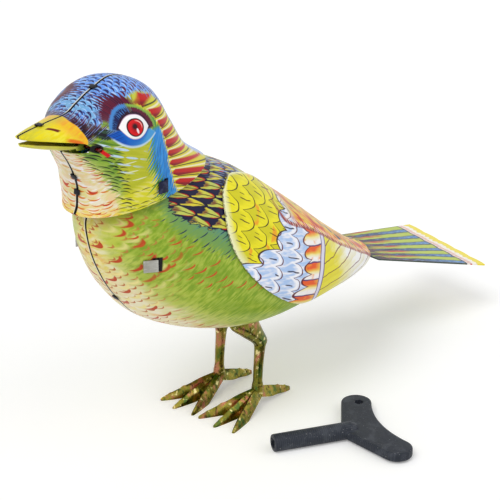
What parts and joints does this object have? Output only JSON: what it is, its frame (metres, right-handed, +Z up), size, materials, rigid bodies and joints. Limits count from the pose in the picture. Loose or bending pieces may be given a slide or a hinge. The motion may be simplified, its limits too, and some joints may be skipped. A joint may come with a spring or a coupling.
{
  "type": "clockwork tin singing bird",
  "caption": "Lithographed tin bird with clockwork, bellows and whistle inside, a moving lower beak and tail, pressed legs and a loose winding key.",
  "frame": {"origin": "on the floor, in the middle of the box round the bird and its loose key", "axes": "-X the way the bird faces, +Z up, -Y the bird's left side, where the key lies"},
  "size_m": [0.2136, 0.104, 0.1296],
  "materials": {
    "body_tin": "glossy lithographed print on tin",
    "head_tin": "glossy lithographed print on tin",
    "wing_tin": "glossy lithographed print on tin",
    "tail_tin": "glossy lithographed print on tin",
    "beak_tin": "glossy lithographed print on tin",
    "leg_plate": "olive gold lacquer over plated tin",
    "key_plastic": "fine-grained black moulding",
    "frame_steel": "bright tinplate",
    "wheel_brass": "stamped brass",
    "arbor_steel": "turned steel",
    "spring_steel": "blued spring steel",
    "board_card": "varnished board",
    "bellows_leather": "thin pale leather",
    "whistle_brass": "drawn brass tube"
  },
  "bodies": {
    "bird": {"body_shell_left": "body_tin", "body_shell_right": "body_tin", "head_shell_left": "head_tin", "head_shell_right": "head_tin", "wing_left": "wing_tin", "wing_right": "wing_tin", "leg_left": "leg_plate", "leg_right": "leg_plate", "beak_hinge_pin": "arbor_steel", "tail_pivot_pin": "arbor_steel", "motor_plate_left": "frame_steel", "motor_plate_right": "frame_steel", "pillar_spring": "arbor_steel", "pillar_top": "arbor_steel", "pillar_bellows": "arbor_steel", "pillar_bottom": "arbor_steel", "pillar_rear": "arbor_steel", "mainspring": "spring_steel", "rocker_stud": "arbor_steel", "bellows_base_board": "board_card", "bellows_skin": "bellows_leather", "whistle_tube": "whistle_brass"},
    "great_wheel": {"great_wheel": "wheel_brass", "click_spring": "spring_steel"},
    "click": {"click": "arbor_steel"},
    "winding_arbor": {"winding_arbor": "arbor_steel", "ratchet_wheel": "arbor_steel"},
    "second_wheel": {"second_arbor": "arbor_steel", "second_wheel": "wheel_brass"},
    "crank": {"crank_arbor": "arbor_steel", "crank_wheel": "wheel_brass", "crank_disc": "wheel_brass"},
    "governor": {"governor_arbor": "arbor_steel", "governor_fan": "frame_steel"},
    "rocker": {"rocker_lever": "frame_steel"},
    "lower_beak": {"lower_beak": "beak_tin"},
    "tail": {"tail": "tail_tin"},
    "beak_rod": {"beak_rod": "arbor_steel"},
    "tail_rod": {"tail_rod": "arbor_steel"},
    "bellows_top": {"bellows_top_board": "board_card"},
    "piston": {"whistle_piston": "whistle_brass"},
    "key": {"winding_key": "key_plastic"}
  },
  "joints": [
    {"name": "great_wheel_spin", "type": "hinge", "parent": "bird", "child": "great_wheel", "pos_m": [-0.04426, 0.02154, 0.058], "axis": [0, 1, 0], "continuous": true},
    {"name": "winding", "type": "hinge", "parent": "great_wheel", "child": "winding_arbor", "pos_m": [-0.04426, 0.02154, 0.058], "axis": [0, 1, 0], "continuous": true, "deforming": ["mainspring"]},
    {"name": "click_lift", "type": "hinge", "parent": "great_wheel", "child": "click", "pos_m": [-0.04789, 0.02154, 0.06645], "axis": [0, -1, 0], "range_deg": [0, 8], "stiffness_Nm_per_rad": 0.002, "springref_deg": -5.73, "deforming": ["click_spring"]},
    {"name": "second_wheel_spin", "type": "hinge", "parent": "bird", "child": "second_wheel", "pos_m": [-0.02653, 0.02154, 0.05487], "axis": [0, 1, 0], "continuous": true},
    {"name": "crank_spin", "type": "hinge", "parent": "bird", "child": "crank", "pos_m": [-0.01571, 0.02154, 0.06112], "axis": [0, 1, 0], "continuous": true},
    {"name": "governor_spin", "type": "hinge", "parent": "bird", "child": "governor", "pos_m": [-0.01669, 0.02154, 0.07233], "axis": [0, 1, 0], "continuous": true},
    {"name": "rocker_swing", "type": "hinge", "parent": "bird", "child": "rocker", "pos_m": [-0.03026, 0.02154, 0.066], "axis": [0, 1, 0], "range_deg": [-3.5, 11]},
    {"name": "beak_open", "type": "hinge", "parent": "bird", "child": "lower_beak", "pos_m": [-0.08686, 0.02154, 0.1128], "axis": [0, 1, 0], "range_deg": [-7.75, 2.5]},
    {"name": "tail_wag", "type": "hinge", "parent": "bird", "child": "tail", "pos_m": [0.02974, 0.02154, 0.0436], "axis": [0, 1, 0], "range_deg": [-2.18, 6.75]},
    {"name": "bellows_pump", "type": "hinge", "parent": "bird", "child": "bellows_top", "pos_m": [0.01854, 0.02154, 0.0475], "axis": [0, 1, 0], "range_deg": [-8.85, 2.85], "deforming": ["bellows_skin"]},
    {"name": "piston_slide", "type": "slide", "parent": "bird", "child": "piston", "axis": [-1, 0, 0], "range_m": [-0.00144, 0.00449]},
    {"name": "beak_rod_slide", "type": "slide", "parent": "bird", "child": "beak_rod", "axis": [1, 0, 0], "range_m": [-0.00028, 0.00083]},
    {"name": "tail_rod_slide", "type": "slide", "parent": "bird", "child": "tail_rod", "axis": [1, 0, 0], "range_m": [-0.000558, 0.000191]},
    {"name": "key_lift", "type": "slide", "parent": "bird", "child": "key", "axis": [0, 0, 1], "range_m": [0, 0.1]}
  ],
  "couplings": [
    {"joint": "second_wheel_spin", "follows": "great_wheel_spin", "ratio": -4},
    {"joint": "crank_spin", "follows": "great_wheel_spin", "ratio": 16},
    {"joint": "governor_spin", "follows": "great_wheel_spin", "ratio": -64},
    {"joint": "beak_open", "follows": "rocker_swing", "ratio": -0.7},
    {"joint": "tail_wag", "follows": "rocker_swing", "ratio": 0.6087},
    {"joint": "bellows_pump", "follows": "rocker_swing", "ratio": -0.8},
    {"joint": "piston_slide", "follows": "rocker_swing", "m_per_rad": 0.0233},
    {"joint": "beak_rod_slide", "follows": "rocker_swing", "m_per_rad": 0.0042},
    {"joint": "tail_rod_slide", "follows": "rocker_swing", "m_per_rad": -0.0028}
  ]
}
